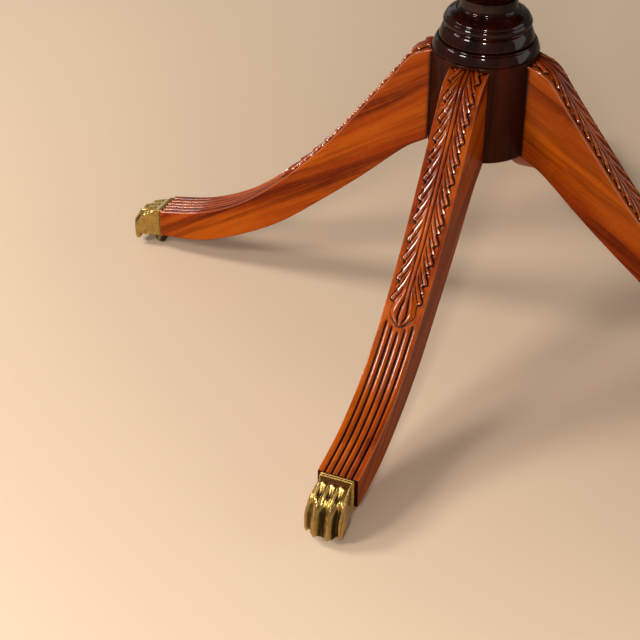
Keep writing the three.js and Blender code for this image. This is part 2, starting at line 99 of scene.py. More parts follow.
stand_middle = (0, -0.05, 0.30)
lamps = [
    lamp("lamp_beside_viewer", (0.42, -1.95, 1.30), stand_middle, (0.20, 0.24), 20),
    lamp("lamp_left", (-1.20, -1.75, 1.42), stand_middle, (0.50, 0.42), 30),
    lamp("lamp_left_high", (-2.05, -0.72, 1.95), (0, -0.2, 0.18), (0.80, 0.65), 50),
    lamp("lamp_right", (2.5, 0.75, 1.1), stand_middle, (1.8, 1.4), 13),
    lamp("lamp_behind_left", (-2.6, 2.2, 1.1), stand_middle, (1.6, 1.4), 6),
    lamp("lamp_overhead", (-0.5, -0.9, 3.2), stand_middle, (2.4, 2.4), 40),
]
world = bpy.data.worlds.new("room")
world.use_nodes = True
background = world.node_tree.nodes["Background"].inputs
background["Color"].default_value = (1.0, 0.97, 0.93, 1)
background["Strength"].default_value = 0.25
bpy.context.scene.world = world
bpy.context.scene.view_settings.view_transform = "Standard"

floor_mesh = bpy.data.meshes.new("floor")
floor_reach = 6.0
SQUARE = [(-1, -1), (1, -1), (1, 1), (-1, 1)]
floor_mesh.from_pydata([(x * floor_reach, y * floor_reach, 0) for x, y in SQUARE], [], [(0, 1, 2, 3)])
floor = bpy.data.objects.new("floor", floor_mesh)
bpy.context.scene.collection.objects.link(floor)
floor_paint = bpy.data.materials.new("pale_floor")
floor_paint.use_nodes = True
floor_shader = floor_paint.node_tree.nodes["Principled BSDF"]
floor_shader.inputs["Base Color"].default_value = (0.56, 0.43, 0.31, 1)
floor_shader.inputs["Roughness"].default_value = 0.8
floor_shader.inputs["Specular IOR Level"].default_value = 0.2
floor_mesh.materials.append(floor_paint)
print("lamps:", [o.name for o in lamps])

# %% [markdown]
# ## Places taken from the frame
# The hub, the paw caps and the casters already have their sizes. These values are read from them once, and
# every finer shape below is fitted to them.

# %% Places and sizes
GAP = 0.3 * MM
SIDES = {"right": 0, "back": 90, "left": 180, "front": 270}
hub_low, hub_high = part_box("hub")
leg_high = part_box("leg_right")[1]
paw_low, paw_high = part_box("paw_cap_right")
HUB_RADIUS = hub_high.x
HUB_BOTTOM, HUB_TOP = hub_low.z, hub_high.z
LEG_HALF = leg_high.y
LEG_TOP = HUB_TOP - 4 * MM  # the hub's rim stands a little above the legs
FOOT_RADIUS = paw_low.x - GAP
FOOT_TOP = paw_high.z
FOOT_HEIGHT = 32.9 * MM
FOOT_BOTTOM = FOOT_TOP - FOOT_HEIGHT
PAW_BOTTOM = paw_low.z
print("hub radius", round(HUB_RADIUS, 4), "foot radius", round(FOOT_RADIUS, 4))
print("leg width", round(2 * LEG_HALF, 4))

# %% [markdown]
# ## Tools of the bench
# Most pieces are made as arrays of points, because a carved surface is easier to write as a height over a
# flat sheet than to push about by hand. Each piece carries two values at every point. `grain` is the point's
# place in its own board, so that the figure of the wood follows the board and not the room. `hollow` says how
# deep the point lies between its neighbours. The finishes darken it there: the brass with the patina of its
# hollows, the wood with painted shade and old wax.

# %% Tools
def smooth_through(points, samples):
    """A smooth curve through a few points, evenly sampled between each pair of them."""
    points = np.array(points, float)
    last = len(points) - 1
    place = np.linspace(0, last, samples + 1)
    index = np.minimum(place.astype(int), last - 1)
    part = (place - index)[:, None]
    before, after = points[np.maximum(index - 1, 0)], points[np.minimum(index + 2, last)]
    start, end = points[index], points[index + 1]
    pull_in, pull_out = (end - before) / 2, (after - start) / 2
    return ((2 * start - 2 * end + pull_in + pull_out) * part ** 3
            + (-3 * start + 3 * end - 2 * pull_in - pull_out) * part ** 2 + pull_in * part + start)


def soft_step(value, low, high):
    """0 below low, 1 above high and an even slope between them."""
    share = np.clip((value - low) / (high - low), 0, 1)
    return share * share * (3 - 2 * share)


def swell(value, middle, width):
    """A bell: 1 at the middle, and almost 0 at twice the width from it."""
    return np.exp(-((value - middle) / width) ** 2)


def through(points, samples):
    """The same curve as a list of places, for the outline of a turned piece."""
    return [tuple(place) for place in smooth_through(points, samples)]


def height_curve(points):
    """A function that reads a smooth curve through (place, height) points."""
    curve = smooth_through(points, 400)
    return lambda place: np.interp(place, curve[:, 0], curve[:, 1])


def carry(mesh, name, values):
    """Stores one number or one place for every point of a mesh."""
    values = np.asarray(values, np.float32)
    kind = "FLOAT" if values.ndim == 1 else "FLOAT_VECTOR"
    attribute = mesh.attributes.new(name, kind, "POINT")
    attribute.data.foreach_set("value" if values.ndim == 1 else "vector", values.ravel())


def solid(name, points, faces, finish, grain=None, sharp=40, hollow=None):
    """A finished mesh object from points and faces. Its edges stay sharp above the given angle."""
    mesh = bpy.data.meshes.new(name)
    mesh.from_pydata([tuple(p) for p in points], [], faces)
    mesh.validate()
    mesh.update()
    mesh.polygons.foreach_set("use_smooth", np.ones(len(mesh.polygons), bool))
    mesh.set_sharp_from_angle(angle=math.radians(sharp))
    carry(mesh, "grain", points if grain is None else grain)
    carry(mesh, "hollow", np.zeros(len(points)) if hollow is None else hollow)
    mesh.materials.append(finish)
    made = bpy.data.objects.new(name, mesh)
    bpy.context.scene.collection.objects.link(made)
    return made


def turned(outline, sides):
    """Points and faces of a shape turned about Z. The outline is (radius, height), from the bottom up."""
    points, faces, rings = [], [], []
    for radius, height in outline:
        if radius == 0:
            rings.append([len(points)] * sides)
            points.append((0, 0, height))
            continue
        rings.append(list(range(len(points), len(points) + sides)))
        for k in range(sides):
            angle = 2 * math.pi * k / sides
            points.append((radius * math.cos(angle), radius * math.sin(angle), height))
    for low, high in zip(rings, rings[1:]):
        for k in range(sides):
            corners = [low[k], low[(k + 1) % sides], high[(k + 1) % sides], high[k]]
            face = [c for i, c in enumerate(corners) if c != corners[i - 1]]
            if len(face) > 2:
                faces.append(face)
    return np.array(points), faces


def round_stretch(centre, middle_height, radius, start, end, steps=14):
    """Points of an arc in an outline. The angles are in degrees, up from straight out."""
    angles = np.radians(np.linspace(start, end, steps + 1))
    return [(centre + radius * math.cos(a), middle_height + radius * math.sin(a)) for a in angles]


def turned_about(points, degrees):
    cosine, sine = math.cos(math.radians(degrees)), math.sin(math.radians(degrees))
    return np.asarray(points) @ np.array([[cosine, -sine, 0], [sine, cosine, 0], [0, 0, 1]]).T


def from_corner(out, up, steps):
    """Places of an outline, given as steps out and up in millimetres from one corner."""
    return [(out + r * MM, up + z * MM) for r, z in steps]


def vertical_grain(points):
    """Places in an upright board: the first number runs up the board."""
    return np.asarray(points)[:, [2, 0, 1]]


print("tools ready")

# %% [markdown]
# ## Finishes: polished mahogany
# Mahogany has long streaks along the board, a broader figure, softer bands across it that flash in the light,
# and short dark pores. Four noise patterns, each stretched along the board's own `grain` coordinates, give
# them. The polish is a clear coat on top, and it shines most where a crest is worn.

# %% Polished wood
def new_finish(name):
    made = bpy.data.materials.new(name)
    made.use_nodes = True
    tree = made.node_tree
    return made, tree, tree.nodes["Principled BSDF"]


def node(tree, kind, **values):
    made = tree.nodes.new(kind)
    for key, value in values.items():
        setattr(made, key, value)
    return made


def stretched_noise(tree, source, stretch, detail, roughness=0.55, distortion=0.0):
    """A noise pattern read at coordinates that are scaled differently along and across the board."""
    mapping = node(tree, "ShaderNodeMapping")
    mapping.inputs["Scale"].default_value = stretch
    noise = node(tree, "ShaderNodeTexNoise")
    noise.inputs["Scale"].default_value = 1
    noise.inputs["Detail"].default_value = detail
    noise.inputs["Roughness"].default_value = roughness
    noise.inputs["Distortion"].default_value = distortion
    tree.links.new(source, mapping.inputs["Vector"])
    tree.links.new(mapping.outputs["Vector"], noise.inputs["Vector"])
    return noise.outputs["Fac"]


def ranged(tree, value, low, high, new_low=0.0, new_high=1.0):
    made = node(tree, "ShaderNodeMapRange")
    made.interpolation_type = "SMOOTHSTEP"
    for key, number in (("From Min", low), ("From Max", high), ("To Min", new_low), ("To Max", new_high)):
        made.inputs[key].default_value = number
    tree.links.new(value, made.inputs["Value"])
    return made.outputs["Result"]


def blended(tree, share, first, second):
    """One colour mixed over another. Either may be a fixed colour or another node's output."""
    made = node(tree, "ShaderNodeMix", data_type="RGBA")
    for socket, value in ((made.inputs[0], share), (made.inputs[6], first), (made.inputs[7], second)):
        if isinstance(value, (int, float)):
            socket.default_value = value
        elif isinstance(value, tuple):
            socket.default_value = (*value, 1)
        else:
            tree.links.new(value, socket)
    return made.outputs[2]


def carried(tree, name):
    made = node(tree, "ShaderNodeAttribute", attribute_name=name)
    return made.outputs["Fac"] if name == "hollow" else made.outputs["Vector"]


def board_place(tree, along):
    """The place in a board that is still in its measured shape, with the grain along one axis of the room."""
    coordinates = node(tree, "ShaderNodeTexCoord")
    split = node(tree, "ShaderNodeSeparateXYZ")
    tree.links.new(coordinates.outputs["Object"], split.inputs[0])
    joined = node(tree, "ShaderNodeCombineXYZ")
    order = {"X": (0, 1, 2), "Y": (1, 2, 0), "Z": (2, 0, 1)}[along]
    for index, axis in enumerate(order):
        tree.links.new(split.outputs[axis], joined.inputs[index])
    return joined.outputs[0]


def polished_wood(name, dark, middle, light, recess, gloss, coat, coat_blur, streak=1.0, along=None):
    """A polish over four colours of wood. `along` is the grain's direction on a piece without `grain`."""
    made, tree, shader = new_finish(name)
    grain = carried(tree, "grain") if along is None else board_place(tree, along)
    streaks = stretched_noise(tree, grain, (4.0, 110 * streak, 110 * streak), 8, 0.66, 0.25)
    broad = stretched_noise(tree, grain, (2.2, 26, 26), 4, 0.6, 0.5)
    bands = stretched_noise(tree, grain, (120, 22, 22), 3, 0.6, 0.6)
    pores = stretched_noise(tree, grain, (240, 2200, 2200), 2)
    wear_shade_and_highlight = carried(tree, "hollow")
    colour = blended(tree, ranged(tree, streaks, 0.34, 0.60), dark, middle)
    # The two marks that read `hollow` lighten worn crests and arrises, with a painted highlight along the
    # arrises. They darken the hollows nearly to the recess colour as painted shade with old wax.
    for pattern, start, end, most, over in (
            (broad, 0.38, 0.64, 0.85, light), (bands, 0.50, 0.75, 0.16, light),
            (streaks, 0.52, 0.40, 0.38, dark), (pores, 0.60, 0.72, 0.5, recess),
            (wear_shade_and_highlight, -0.25, -0.95, 0.45, light), (wear_shade_and_highlight, 0.03, 0.60, 0.97, recess)):
        colour = blended(tree, ranged(tree, pattern, start, end, 0, most), colour, over)
    tree.links.new(colour, shader.inputs["Base Color"])
    rough = ranged(tree, streaks, 0.3, 0.7, gloss * 0.85, gloss * 1.2)
    tree.links.new(rough, shader.inputs["Roughness"])
    bump = node(tree, "ShaderNodeBump")
    bump.inputs["Strength"].default_value = 0.10
    bump.inputs["Distance"].default_value = 0.15 * MM
    tree.links.new(pores, bump.inputs["Height"])
    tree.links.new(bump.outputs["Normal"], shader.inputs["Normal"])
    shader.inputs["Specular IOR Level"].default_value = 0.02
    shader.inputs["Coat IOR"].default_value = 1.8
    tree.links.new(ranged(tree, wear_shade_and_highlight, -0.15, -0.6, coat, max(coat, 0.9)), shader.inputs["Coat Weight"])
    shader.inputs["Coat Roughness"].default_value = coat_blur
    return made

print("wood and its polish are ready to be mixed")

# %% [markdown]
# The woods differ only in their four colours, their gloss and how fine their streaks are. The column and hub
# are given colours near black, the legs are left red-brown, and the wood under the top is unpolished.

# %% The woods of the table
leg_wood = polished_wood("leg_mahogany", (0.085, 0.008, 0.0006), (0.215, 0.026, 0.0013),
                         (0.4, 0.076, 0.0028), (0.006, 0.0009, 0.0005), 0.38, 0.08, 0.1)
column_wood = polished_wood("column_mahogany", (0.0032, 0.0007, 0.0004), (0.0095, 0.0013, 0.0006),
                            (0.026, 0.0032, 0.0009), (0.002, 0.0005, 0.0004), 0.25, 0.24, 0.035)
hub_wood = polished_wood("hub_mahogany", (0.008, 0.0014, 0.0006), (0.023, 0.0036, 0.001),
                         (0.046, 0.0072, 0.0017), (0.003, 0.0008, 0.0006), 0.42, 0.05, 0.15)
top_wood = polished_wood("top_mahogany", (0.075, 0.01, 0.0025), (0.165, 0.026, 0.0035),
                         (0.3, 0.058, 0.0065), (0.02, 0.004, 0.002), 0.28, 0.45, 0.05, 0.5)
band_wood = polished_wood("crossband_mahogany", (0.05, 0.0085, 0.0028), (0.115, 0.02, 0.0045),
                          (0.215, 0.045, 0.0075), (0.016, 0.003, 0.0015), 0.28, 0.6, 0.05, 0.9)
string_wood = polished_wood("ebony_stringing", (0.006, 0.0042, 0.0034), (0.009, 0.0062, 0.005),
                            (0.013, 0.0085, 0.0065), (0.002, 0.0015, 0.0012), 0.3, 0.6, 0.05)
batten_wood = polished_wood("batten_mahogany", (0.07, 0.02, 0.009), (0.12, 0.038, 0.016),
                            (0.175, 0.062, 0.026), (0.022, 0.007, 0.004), 0.6, 0.0, 0.3, 0.8, "Y")
block_wood = polished_wood("block_mahogany", (0.064, 0.018, 0.008), (0.11, 0.034, 0.014),
                           (0.16, 0.056, 0.023), (0.02, 0.007, 0.004), 0.6, 0.0, 0.3, 0.8, "X")
print("wood finishes:", [m.name for m in bpy.data.materials if "mahogany" in m.name or "ebony" in m.name])

# %% [markdown]
# ## Finishes: brass, iron and steel
# Cast brass is rubbed bright on its high places and stays nearly black in its hollows, where polish never
# reaches. The `hollow` value drives that, and a little noise breaks the border up. The small iron plate and
# the screws are dull and dark.

# %% Metals
def aged_metal(name, bright, dull, recess, gloss, along=None):
    made, tree, shader = new_finish(name)
    place = carried(tree, "grain") if along is None else board_place(tree, along)
    cloud = stretched_noise(tree, place, (260, 260, 260), 5, 0.6)
    fine = stretched_noise(tree, place, (1500, 1500, 1500), 2)
    colour = blended(tree, ranged(tree, cloud, 0.35, 0.68), bright, dull)
    worn = node(tree, "ShaderNodeMath", operation="ADD")
    tree.links.new(carried(tree, "hollow"), worn.inputs[0])
    tree.links.new(ranged(tree, cloud, 0.3, 0.7, -0.08, 0.08), worn.inputs[1])
    dirt = ranged(tree, worn.outputs[0], 0.0, 0.55, 0, 0.93)
    tree.links.new(blended(tree, dirt, colour, recess), shader.inputs["Base Color"])
    tree.links.new(ranged(tree, worn.outputs[0], -0.2, 0.6, gloss, gloss + 0.32), shader.inputs["Roughness"])
    bump = node(tree, "ShaderNodeBump")
    bump.inputs["Strength"].default_value = 0.06
    bump.inputs["Distance"].default_value = 0.10 * MM
    tree.links.new(fine, bump.inputs["Height"])
    tree.links.new(bump.outputs["Normal"], shader.inputs["Normal"])
    shader.inputs["Metallic"].default_value = 1
    return made


paw_brass = aged_metal("paw_brass", (0.52, 0.345, 0.105), (0.37, 0.24, 0.068), (0.012, 0.0075, 0.003), 0.26)
caster_brass = aged_metal("caster_brass", (0.3, 0.2, 0.07), (0.16, 0.11, 0.042),
                          (0.012, 0.009, 0.005), 0.36)
wheel_metal = aged_metal("caster_wheel_metal", (0.075, 0.055, 0.035), (0.035, 0.027, 0.018),
                         (0.008, 0.006, 0.005), 0.42)
black_iron = aged_metal("black_iron", (0.06, 0.056, 0.05), (0.03, 0.028, 0.025),
                        (0.008, 0.007, 0.006), 0.5, along="X")
dull_steel = aged_metal("screw_steel", (0.34, 0.32, 0.29), (0.2, 0.19, 0.17), (0.03, 0.025, 0.02), 0.34)
print("metals:", [m.name for m in (paw_brass, caster_brass, wheel_metal, black_iron, dull_steel)])

# %% [markdown]
# ## The leg's two edges
# A sabre leg is sawn from a board with two smooth curves. Both are drawn through a few points, given as
# shares of the way from the hub to the foot and of the height between the leg's ends.

# %% Edges of the leg
UPPER_SHARES = [(0, 1), (0.057, 0.962), (0.123, 0.855), (0.225, 0.692), (0.366, 0.476),
                (0.517, 0.289), (0.673, 0.138), (0.835, 0.044), (1, 0)]
LOWER_SHARES = [(0, 1), (0.081, 0.898), (0.219, 0.686), (0.366, 0.479),
                (0.517, 0.282), (0.676, 0.133), (0.838, 0.03), (1, 0)]


def leg_edge(shares, low, high):
    """The edge as places, with the distance walked along it and the direction square to it."""
    line = smooth_through(shares, 1200)
    line = np.c_[HUB_RADIUS + line[:, 0] * (FOOT_RADIUS - HUB_RADIUS), low + line[:, 1] * (high - low)]
    step = np.gradient(line, axis=0)
    step /= np.linalg.norm(step, axis=1)[:, None]
    walked = np.r_[0, np.cumsum(np.linalg.norm(np.diff(line, axis=0), axis=1))]
    return line, walked, np.c_[-step[:, 1], step[:, 0]]


upper_line, upper_walk, upper_out = leg_edge(UPPER_SHARES, FOOT_TOP, LEG_TOP)
lower_line, lower_walk = leg_edge(LOWER_SHARES, FOOT_BOTTOM, HUB_BOTTOM)[:2]
print("length along the top of a leg", round(upper_walk[-1], 4))

# %% [markdown]
# ## The carved leaf and the reeds
# The carver leaves the leaf standing and sinks the wood round it. Long lobes spring from the midrib, run down
# beside it and curl out to a rounded tip. Each has a high rim, a lower one beside it and a gouged hollow. All
# of it is written as one height over the leg's upper face: `s` is the distance from the hub and `t` the
# distance from the middle, both in millimetres. Lines of equal phase are the lobes' own curves, so a single
# cross-section, repeated along the phase, carves them all.

# %% Heights of the carving, in millimetres
LEAF_END = 271.5  # where the tip of the leaf lies, along the leg
LOBE_PITCH = 20.9
FIRST_TIP = 36.0
LAST_TIP = 245.6
LOBE_RUN = 40.0  # how far a lobe runs from the midrib to its tip
REED_PITCH = 7.0
REED_START = 273
GROOVE_DEPTH = 2.8
CUTS = 16  # how many different cuts the carver's hand makes on each side
# height of the rim, the lower rim and the hollow, over one pitch of the lobes
lobe_section = height_curve([
    (-0.30, -0.40), (-0.265, 0.30), (-0.23, 0.62), (-0.12, 0.84), (-0.02, 1.04), (0.02, 1.05),
    (0.05, 0.86), (0.085, 0.45), (0.12, 0.55), (0.155, 0.62), (0.19, 0.30), (0.24, -0.42),
    (0.30, -0.05), (0.36, 0.12), (0.46, 0.02), (0.58, -0.05), (0.66, -0.12), (0.70, -0.40),
    (0.735, 0.30), (0.77, 0.62), (0.88, 0.84), (0.98, 1.04), (1.02, 1.05), (1.05, 0.86)])
# how far out the leaf's edge lies, over one pitch of the lobes, and then along the last leaf
edge_section = height_curve([
    (-0.05, 16.3), (0.0, 16.0), (0.03, 15.0), (0.06, 12.9), (0.10, 11.9), (0.16, 11.9),
    (0.26, 13.4), (0.38, 15.0), (0.44, 14.9), (0.475, 13.0), (0.52, 12.0), (0.60, 12.6),
    (0.74, 14.4), (0.86, 15.8), (0.95, 16.3), (1.0, 16.0), (1.03, 15.0)])
end_outline = height_curve([
    (225, 6), (236, 9.6), (246, 11.6), (252, 12.3), (257, 13.2), (258.8, 12.7),
    (262, 11.2), (265.5, 8.4), (268.5, 5.2), (270.5, 2.6), (LEAF_END, 0)])
hand = np.random.default_rng(7)
lobe_drift = np.clip(hand.normal(0, 0.45, (2, CUTS)), -0.9, 0.9)  # no two lobes are cut quite alike


def lobes(s, t):
    """The rows of lobes beside the midrib."""
    side = np.where(t < 0, 0, 1)
    away = np.abs(t)
    number = np.floor((s - FIRST_TIP) / LOBE_PITCH + 0.5).astype(int) % CUTS
    along = s - lobe_drift[side, number] - FIRST_TIP
    share = np.clip((away - 2.0) / 13.0, 0, 1.3) ** (1 / 1.8)
    phase = (along + LOBE_RUN * (1 - share)) / LOBE_PITCH
    tip_phase = along / LOBE_PITCH
    tip_phase = tip_phase - np.floor(tip_phase)
    edge = np.where(s > LAST_TIP + 2, 0, edge_section(tip_phase))
    crest = 1.35 + 1.75 * share  # the rims rise a little towards their tips
    depth = (0.30 + 2.25 * soft_step(away, 2.6, 9)) / 1.5
    height = crest - depth * (1.08 - lobe_section(phase - np.floor(phase)))
    midrib = 2.15 - 0.9 * soft_step(away, 0.4, 2.4)
    height = height + (midrib - height) * (1 - soft_step(away, 1.6, 2.9))
    height -= 0.55 * swell(away, 2.7, 0.6)
    return height, soft_step(edge - away, -0.25, 0.75)


def eyes(s, t):
    """Small drilled pockets where two lobes part, just below each tip."""
    along = (s - FIRST_TIP) / LOBE_PITCH
    along = (along - np.floor(along)) * LOBE_PITCH
    pocket = np.zeros_like(t)
    for place, away, depth in ((2.6, 13.2, 0.9), (12.4, 13.4, 0.6)):
        pocket += depth * np.exp(-((along - place) / 1.4) ** 2 - ((np.abs(t) - away) / 1.7) ** 2)
    return pocket * (s > FIRST_TIP - 12) * (s < LAST_TIP - 8)


def last_leaf(s, t):
    """A long middle petal between two broad ones, running together at the leaf's point."""
    away = np.abs(t)
    edge = np.where((s > 225) & (s < LEAF_END), end_outline(s), 0)
    # half width of the middle petal
    petal = 0.9 + 2.9 * soft_step(s, 234, 258) - 2.6 * soft_step(s, 261, 271)
    beside = (away - petal) / np.maximum(edge - petal, 1.0)
    height = 0.75 + 0.9 * swell(away, 0, 0.75 * petal)
    height += 2.05 * swell(beside, 0.50, 0.27)
    height -= 1.35 * swell(away - petal, 0.4, 1.0) * (1 - soft_step(s, 262, 269))
    height -= 0.7 * swell(beside, 0.55, 0.10) * (1 - soft_step(s, 244, 256))
    return height, soft_step(edge - away, -0.25, 0.75)


def carving(s, t):
    """Height of the whole leaf above the leg's face."""
    height, inside = lobes(s, t)
    end_height, end_inside = last_leaf(s, t)
    ending = soft_step(s, 236, 249)
    return inside * height * (1 - ending * end_inside) + end_inside * end_height * ending - eyes(s, t)


def reeding(s, t):
    """Depth of the grooves that leave six rounded reeds standing below the leaf."""
    groove = np.round(t / REED_PITCH)
    from_groove = np.clip((np.abs(t - groove * REED_PITCH) - 0.5) / (REED_PITCH / 2 - 0.5), 0.03, 1)
    start = REED_START - 4.5 * np.abs(groove)
    begun = soft_step(s, start, start + 9) * (np.abs(groove) < 3)
    return -GROOVE_DEPTH * (1 - np.sqrt(1 - (1 - from_groove) ** 2)) * begun


print("lobes on each side:", int((LAST_TIP - FIRST_TIP) / LOBE_PITCH) + 1)

# %% [markdown]
# ## Making the legs
# The upper face is a fine sheet with that height added square to the curve. The sides and the underside are
# flat, so they need few points. The arrises are eased by a millimetre, since a polisher's pad always rounds
# them. At the hub each leg is hollowed to the drum, which a saw and gouge do on the real one.

# %% Legs
ARRIS = 1.1 * MM
UPPER_ACROSS = 86
LOWER_ACROSS = 10
SIDE_STEPS = 7
CARVED_STEP = 0.56  # between two slices of the leg, in millimetres
REEDED_SLICES = 96
BLUR_ROUNDS = 14


def eased(t):
    """How far a flat face drops as it rounds over an arris."""
    past = np.clip(np.abs(t) - (LEG_HALF - ARRIS), 0, ARRIS)
    return ARRIS - np.sqrt(np.maximum(ARRIS ** 2 - past ** 2, 0))


def across_places(count):
    """Places across a face, with extra ones on the arrises."""
    rim = LEG_HALF - ARRIS * np.array([0, 0.08, 0.3, 0.6])
    flat = np.linspace(-(LEG_HALF - ARRIS), LEG_HALF - ARRIS, count)
    return np.r_[-rim, flat, rim[::-1]]


def read_along(places, walked, values):
    """Pairs of values read at the given distances along an edge."""
    return np.c_[np.interp(places, walked, values[:, 0]), np.interp(places, walked, values[:, 1])]


def leg_shape():
    """Rings of points round the leg from the hub to the foot, and how hollow the skin is at each point."""
    stations = np.r_[np.arange(0, LEAF_END + 12, CARVED_STEP),
                     np.linspace(LEAF_END + 12.5, upper_walk[-1] / MM, REEDED_SLICES)] * MM
    share = stations / upper_walk[-1]
    upper = read_along(stations, upper_walk, upper_line)
    out = read_along(stations, upper_walk, upper_out)
    lower = read_along(share * lower_walk[-1], lower_walk, lower_line)
    t_up, t_low = across_places(UPPER_ACROSS), across_places(LOWER_ACROSS)[::-1]
    s_grid, t_grid = np.meshgrid(stations / MM, t_up / MM, indexing="ij")
    cut = (carving(s_grid, t_grid) + reeding(s_grid, t_grid)) * MM
    height = cut - eased(t_up)[None, :]
    top = np.stack([upper[:, :1] + out[:, :1] * height, np.broadcast_to(t_up, height.shape),
                    upper[:, 1:] + out[:, 1:] * height], -1)
    # Painted shade: points below their blurred neighbours, and deep cuts such as the reed grooves, are
    # darkened as shade falls in them, with a little old wax.
    depth_tone = (softened(cut) - cut) / (0.60 * MM)
    depth_tone += 0.7 * soft_step(-cut / MM, 0.7, 1.9)
    depth_tone -= 1.2 * swell(LEG_HALF - np.abs(t_grid) * MM, 0, 0.7 * MM)  # the arrises are lightened: worn pale, with a painted highlight along the edge
    rise = eased(t_low)[None, :]
    base = np.stack([lower[:, :1] + 0 * rise, np.broadcast_to(t_low, (len(share), len(t_low))),
                     lower[:, 1:] + rise], -1)
    down = np.r_[0.012, np.linspace(0, 1, SIDE_STEPS)[1:-1], 0.988][None, :, None]
    far_side = top[:, -1:, :] * (1 - down) + base[:, :1, :] * down
    near_side = base[:, -1:, :] * (1 - down) + top[:, :1, :] * down
    rings = np.concatenate([top, far_side, base, near_side], 1)
    # hollow the end to the drum
    start = np.sqrt((HUB_RADIUS + GAP) ** 2 - rings[..., 1] ** 2) - HUB_RADIUS
    fade = 1 - soft_step(share, 0, 0.06)[:, None]
    rings[..., 0] += start * fade
    recess = np.zeros(rings.shape[:2])
    recess[:, :depth_tone.shape[1]] = np.clip(depth_tone, -1, 1)
    recess += 0.9 * np.exp(-share / 0.006)[:, None]  # old polish gathers where the leg meets the hub
    # the sawn end is painted dark, as darker end grain and as painted shade, so it has a ring of its own just
    # inside the leg's last edge
    last = rings[-1].copy()
    inset = last + 0.02 * (last.mean(0) - last)
    rings = np.concatenate([rings, inset[None]])
    recess = np.concatenate([recess, np.ones((1, recess.shape[1]))])
    return rings, np.clip(recess, -1, 1)


def softened(height):
    """The same heights with their small detail blurred away."""
    soft = height.copy()
    for _ in range(BLUR_ROUNDS):
        padded = np.pad(soft, 1, mode="edge")
        across = padded[1:-1, :-2] + padded[1:-1, 2:]
        along = padded[:-2, 1:-1] + padded[2:, 1:-1]
        soft = 0.2 * soft + 0.2 * (across + along)
    return soft


def tube_faces(rows, ring):
    """Faces of a closed skin over rows of points, with a face over each end."""
    index = np.arange(rows * ring).reshape(rows, ring)
    after = np.roll(index, -1, axis=1)
    quads = np.stack([index[:-1], index[1:], after[1:], after[:-1]], -1).reshape(-1, 4).tolist()
    return quads + [index[0].tolist(), index[-1][::-1].tolist()]

print("slices in a leg:", int((LEAF_END + 12) / CARVED_STEP) + 1 + REEDED_SLICES)

# %% [markdown]
# All four legs come from one pattern, as they do in the workshop. Each has its own place in the board, so no
# two show the same figure. The grain runs straight from the hub to the foot.

# %% Four legs
leg_rings, leg_recess = leg_shape()
leg_faces = tube_faces(*leg_rings.shape[:2])
leg_points = leg_rings.reshape(-1, 3)
chord = Vector((FOOT_RADIUS - HUB_RADIUS, 0, FOOT_BOTTOM - HUB_BOTTOM)).normalized()
for number, (side, degrees) in enumerate(SIDES.items()):
    along = leg_points @ np.array([chord.x, 0, chord.z])
    up = leg_points @ np.array([-chord.z, 0, chord.x])
    board = np.c_[along + number * 0.9, up, leg_points[:, 1] + number * 0.31]
    leg = solid(f"sabre_leg_{side}", turned_about(leg_points, degrees), leg_faces, leg_wood, board,
                hollow=leg_recess.ravel())
    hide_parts(f"leg_{side}")
    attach(leg, "table")
print("points in a leg:", len(leg_points))

# %% [markdown]
# ## Hub, collar and column
# These are turned on a lathe, so each is an outline spun about the axis. A ring swells quickly from its foot,
# leans in and bends over at a crisp arris. The sharp quirks between the rings draw the thin dark lines.

# %% Hub
COLUMN_SIDES = 160


def turned_piece(name, outline, finish, cad_node):
    points, faces = turned(outline, COLUMN_SIDES)
    made = solid(name, points, faces, finish, vertical_grain(points), sharp=50)
    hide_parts(cad_node)
    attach(made, "table")


hub_edge = 1.6 * MM
turned_piece("hub_drum", [
    (0, HUB_BOTTOM), (HUB_RADIUS - 1.0 * MM, HUB_BOTTOM), (HUB_RADIUS, HUB_BOTTOM + 1.0 * MM),
    *round_stretch(HUB_RADIUS - hub_edge, HUB_TOP - hub_edge, hub_edge, 0, 90, 6),
    (0, HUB_TOP),
], hub_wood, "hub")
print("hub drum from", round(HUB_BOTTOM, 4), "to", round(HUB_TOP, 4))

# %% [markdown]
# The collar is two rings and a dome, cut one above the other from the same blank.

# %% Collar
collar_low, collar_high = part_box("column_collar")
RING_ONE_HEIGHT, RING_TWO_HEIGHT = 12.3 * MM, 15.2 * MM
base = collar_low.z
ring_one_reach = collar_high.x
ring_two_reach = ring_one_reach - 6.3 * MM
dome_reach = ring_two_reach - 3.6 * MM
ring_two_base = base + RING_ONE_HEIGHT
dome_base = ring_two_base + RING_TWO_HEIGHT


def roll(reach, low, height):
    """A roll that swells quickly from its foot, leans in and bends over just below a crisp arris."""
    arris = 0.8 * MM
    up = np.linspace(0, 1, 30)
    lean = 17 + 7 * up + 19 * soft_step(up, 0.68, 1.0)  # degrees from upright
    tall = height * 0.84 - arris
    inward = np.r_[0, np.cumsum(np.tan(np.radians(lean[1:])) * tall / (len(up) - 1))]
    side = [(reach - 2.2 * MM, low), (reach - 0.9 * MM, low + 0.03 * height),
            (reach - 0.25 * MM, low + 0.09 * height)]
    side += [(reach - i, low + 0.16 * height + tall * u) for i, u in zip(inward, up)]
    return side + round_stretch(reach - inward[-1] - arris * 0.72, low + height - arris, arris, 46, 90, 5)


